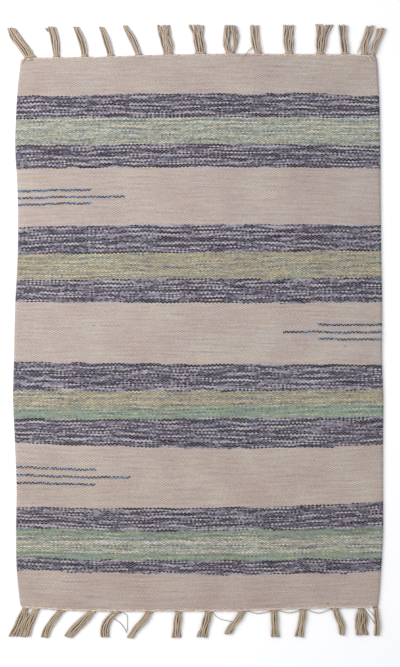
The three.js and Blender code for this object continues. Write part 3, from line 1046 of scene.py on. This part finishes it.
def end_cord(name, outward, rows_of_end, radius):
    """Two yarns twined along one end of the cloth."""
    pulled = sum(
        np.exp(-(((CORD_X - row.x) / (KNOT_PULL_WIDTH * row.root)) ** 2)) for row in rows_of_end
    )
    y = end_line(CORD_X, outward) + outward * (KNOT_PULL * pulled - CORD_INSIDE)
    sway = CORD_SWAY * radius
    yarn = YarnMesh()
    for strand in range(2):
        angle = 2 * np.pi * CORD_X / CORD_TWIST + np.pi * strand
        level = CORD_LEVEL + sway * np.cos(angle)
        yarn.lay(np.stack([CORD_X, y + sway * np.sin(angle), level], -1), radius)
    return yarn.build(name, end_cord_yarn)


end_cords = [
    end_cord("end_cord_far", 1, FAR_TASSELS, radius=0.95),
    end_cord("end_cord_near", -1, NEAR_TASSELS, radius=1.15),
]

# %% [markdown]
# ## Loose threads and curls
# A hand-tied rug has stray ends: a thread that hangs in swags under the near end, single
# yarns that wandered off their tassel, the lumps of the corner knot, and the end of the
# edge cord curled over at the far right corner. Each is a short tube through a few points.

# %% Loose threads
# Each thread's radius and its points (x, y, z), all in mm
LOOSE_THREADS = [
    (0.7, [(90.6, 468.5, 2.5), (86, 466.5, 2.6), (81, 461, 3.6), (77.9, 457, 5.2)]),
    (0.4, [(77.9, 457, 5.2), (73, 450, 4.5), (70.5, 443, 4.4)]),
    (0.6, [(268.9, 471.5, 2.5), (264.9, 468, 2.2), (261.6, 461.6, 2), (260.5, 459, 2)]),
    (0.4, [(-128, -457, 3), (-121, -462, 2), (-117.3, -466, 1), (-117, -490, 0.8)]),
    (0.5, [(-141, -468.7, 2), (-129.6, -476, 1.2), (-121.5, -486, 0.8), (-118, -493, 0.8)]),
    (0.4, [(22.1, -459, 1.5), (30, -467, 1), (38.5, -471.3, 0.8), (55, -474.8, 0.8)]),
    (0.4, [(272, -454, 2), (281, -466, 0.9), (289, -478, 0.8)]),
    (0.4, [(278, -454, 2), (286, -463, 0.9), (293, -472, 0.8)]),
    (0.55, [(79.5, -457, 2.5), (98, -461.2, 1.6), (119, -457, 2.5)]),
    (0.55, [(129, -455.5, 2.5), (149, -460.2, 1.6), (168.5, -455.5, 2.5)]),
    (0.55, [(177.5, -454.5, 2.5), (196.5, -460.6, 1.6), (218, -453.5, 2.5)]),
    (1, [
        (-238.5, 487, 3.6), (-240, 495.5, 3.4), (-243.5, 500, 2.6),
        (-248, 498.5, 1.8), (-248.5, 494.5, 1.4),
    ]),
    (1, [(-241.5, 486, 3), (-244.5, 492, 2.6), (-249, 496, 1.6), (-251.5, 499.5, 1.4)]),
]
# The lumps of the corner knot, each with its radius in the middle
KNOT_LUMPS = [
    (2.3, [(-283, 446, 4.6), (-279.5, 447.5, 5.2), (-275.5, 448, 5.2), (-271.5, 447.5, 4.4)]),
    (1.9, [(-275.5, 453.5, 4.6), (-273, 454, 5.2), (-270.5, 453.5, 5.2), (-268.5, 452, 4.4)]),
    (1.2, [(-281, 452.5, 4.6), (-284.5, 450, 5), (-287, 446, 4.8), (-288.5, 440, 4.2)]),
]
CORNER_CURL = [
    (268, 454.2, 4.3), (275, 453.6, 5), (280, 451.2, 5.2), (282.5, 447.5, 5.2), (283.2, 443.5, 4.8),
]
CURL_RADIUS = 0.9
LUMP_POINTS = 12


def through(points, steps=24):
    """A smooth path through a few points."""
    at = np.linspace(0, len(points) - 1, steps)
    return smooth_through(at, np.arange(len(points)), points)


def swelling(end_angle, steps):
    """Shares of a radius, which is thin at both ends and full in the middle."""
    return np.sin(np.linspace(end_angle, np.pi - end_angle, steps))


loose_yarn = YarnMesh()
for radius, thread_points in LOOSE_THREADS:
    loose_yarn.lay(through(thread_points), radius, sides=6)
for radius, lump_points in KNOT_LUMPS:
    loose_yarn.lay(through(lump_points, LUMP_POINTS), radius * swelling(0.25, LUMP_POINTS), sides=10)
loose_threads = loose_yarn.build("loose_threads", near_khaki_yarn)
curl_yarn = YarnMesh()
curl_yarn.lay(through(CORNER_CURL), CURL_RADIUS)
corner_curl = curl_yarn.build("corner_curl", end_cord_yarn)
print("loose threads:", loose_yarn.count)

# %% [markdown]
# ## Dashes woven in at the selvedges
# Three sets of short lines are laid in with a thicker blue yarn that goes out and back
# between two ground picks, so each line is a zigzag of small floats. They follow the
# picks, so they use the same crossings as the cloth. Their dye changes along the yarn.

# %% Dashes of blue yarn
WARP_PITCH = 2 * HALF_WIDTH / WARPS
DASH_RADIUS = 0.9
DASH_LIFT = 0.85
DASH_SINK = 0.3
DASH_START = 0.2
DASH_STEP = 0.25

# Side of the rug, place of the line at the selvedge in mm from the middle, and its length
DASHES = [
    ("left", 231.5, 123),
    ("left", 219.9, 177.3),
    ("left", 208.6, 123),
    ("right", 13.3, 105.5),
    ("right", 0.3, 161),
    ("right", -11.3, 105.5),
    ("left", -220.4, 131.5),
    ("left", -234.4, 186.8),
    ("left", -247, 130),
]
blue_yarn = bpy.data.materials.new("blue_yarn")


def dash_path(side, place, length, turn):
    """A pick of blue yarn, from the selvedge inwards, floating over every second warp."""
    warps = np.arange(DASH_START, length / WARP_PITCH, DASH_STEP)
    if side == "right":
        warps = WARPS - warps
    edge = crossings([0.0 if side == "left" else WARPS], pick_lines)[1][:, 0]
    pick = np.interp(-place, -edge, pick_lines) + turn - 0.5
    x, y = crossings(warps, [pick])
    x, y = x[0], y[0]
    wave = np.cos(np.pi * (warps - 0.5 - turn))
    z = THICKNESS + swell(x, y) + DASH_LIFT * wave - DASH_SINK
    return np.stack([x, y, z], -1)


dash_yarn = YarnMesh()
for side, place_along, length in DASHES:
    for turn in (0, 1):
        dash_yarn.lay(dash_path(side, place_along, length, turn), DASH_RADIUS)
dashes = dash_yarn.build("woven_dashes", blue_yarn)

# %% Finish of the blue yarn
BLUE_SWING = 2.4
BLUES = [
    (0, "0b0c13"), (0.3, "101629"), (0.42, "183454"), (0.5, "226191"),
    (0.58, "12233f"), (0.66, "2c1721"), (0.75, "22709a"), (1, "4f94b8"),
]
tree, shader = fresh_tree(blue_yarn)
yarn_map = put(tree, "UVMap", uv_map="yarn")[0]
ply = place_group(tree, plied_yarn, {"Yarn": yarn_map, "Plies": PLIES, "Pitch": 5})
tone = calc(tree, "MULTIPLY_ADD", calc(tree, "SUBTRACT", ply["Slow"], 0.5), BLUE_SWING, 0.5)
blue_finish = {
    "Base Color": ramp(tree, tone, BLUES),
    "Normal": relief(tree, ply["Ply"], depth=0.3 * MM, strength=0.7),
    "Roughness": 0.9,
    "Specular IOR Level": 0.2,
}
fill(tree, shader, blue_finish)

# %% [markdown]
# ## Slubs
# Hand-spun weft carries the odd thick spot or stray fibre of another colour: one orange
# fleck in the last mint stripe and a few dark ones in the pale cloth. Each is a short
# piece of yarn half pressed into the face of the cloth, laid like the dashes.

# %% Slubs pressed into the cloth
SLUB_POINTS = 7
SLUB_END_ANGLE = 0.3

# x and y of the slub's middle, its length and its thickest radius, in mm
ORANGE_SLUBS = [(-135.5, -354.2, 5.5, 1.15)]
DARK_SLUBS = [
    (240.1, -22.1, 3.2, 0.7),
    (-171.5, 11.3, 2.8, 0.7),
    (189.3, -209.1, 2.6, 0.7),
    (211.7, -444.4, 3.0, 0.8),
]
ORANGE = [(0, "b05a3c"), (1, "c1744f")]
DARK = [(0, "4a4240"), (1, "6e625d")]


def slub_piece(name, spots, shades):
    """One mesh with a short, tapered piece of yarn at each spot."""
    yarns = YarnMesh()
    for x, y, length, radius in spots:
        along = x + length * np.linspace(-0.5, 0.5, SLUB_POINTS)
        beside = np.full(SLUB_POINTS, y)
        path = np.stack([along, beside, THICKNESS + swell(along, beside)], -1)
        yarns.lay(path, radius * swelling(SLUB_END_ANGLE, SLUB_POINTS))
    finish = yarn_material(name.replace("slubs", "slub_yarn"), shades, pitch=4.0, groove_shade_strength=0.2)
    return yarns.build(name, finish)


slubs = [
    slub_piece("orange_slubs", ORANGE_SLUBS, ORANGE),
    slub_piece("dark_slubs", DARK_SLUBS, DARK),
]
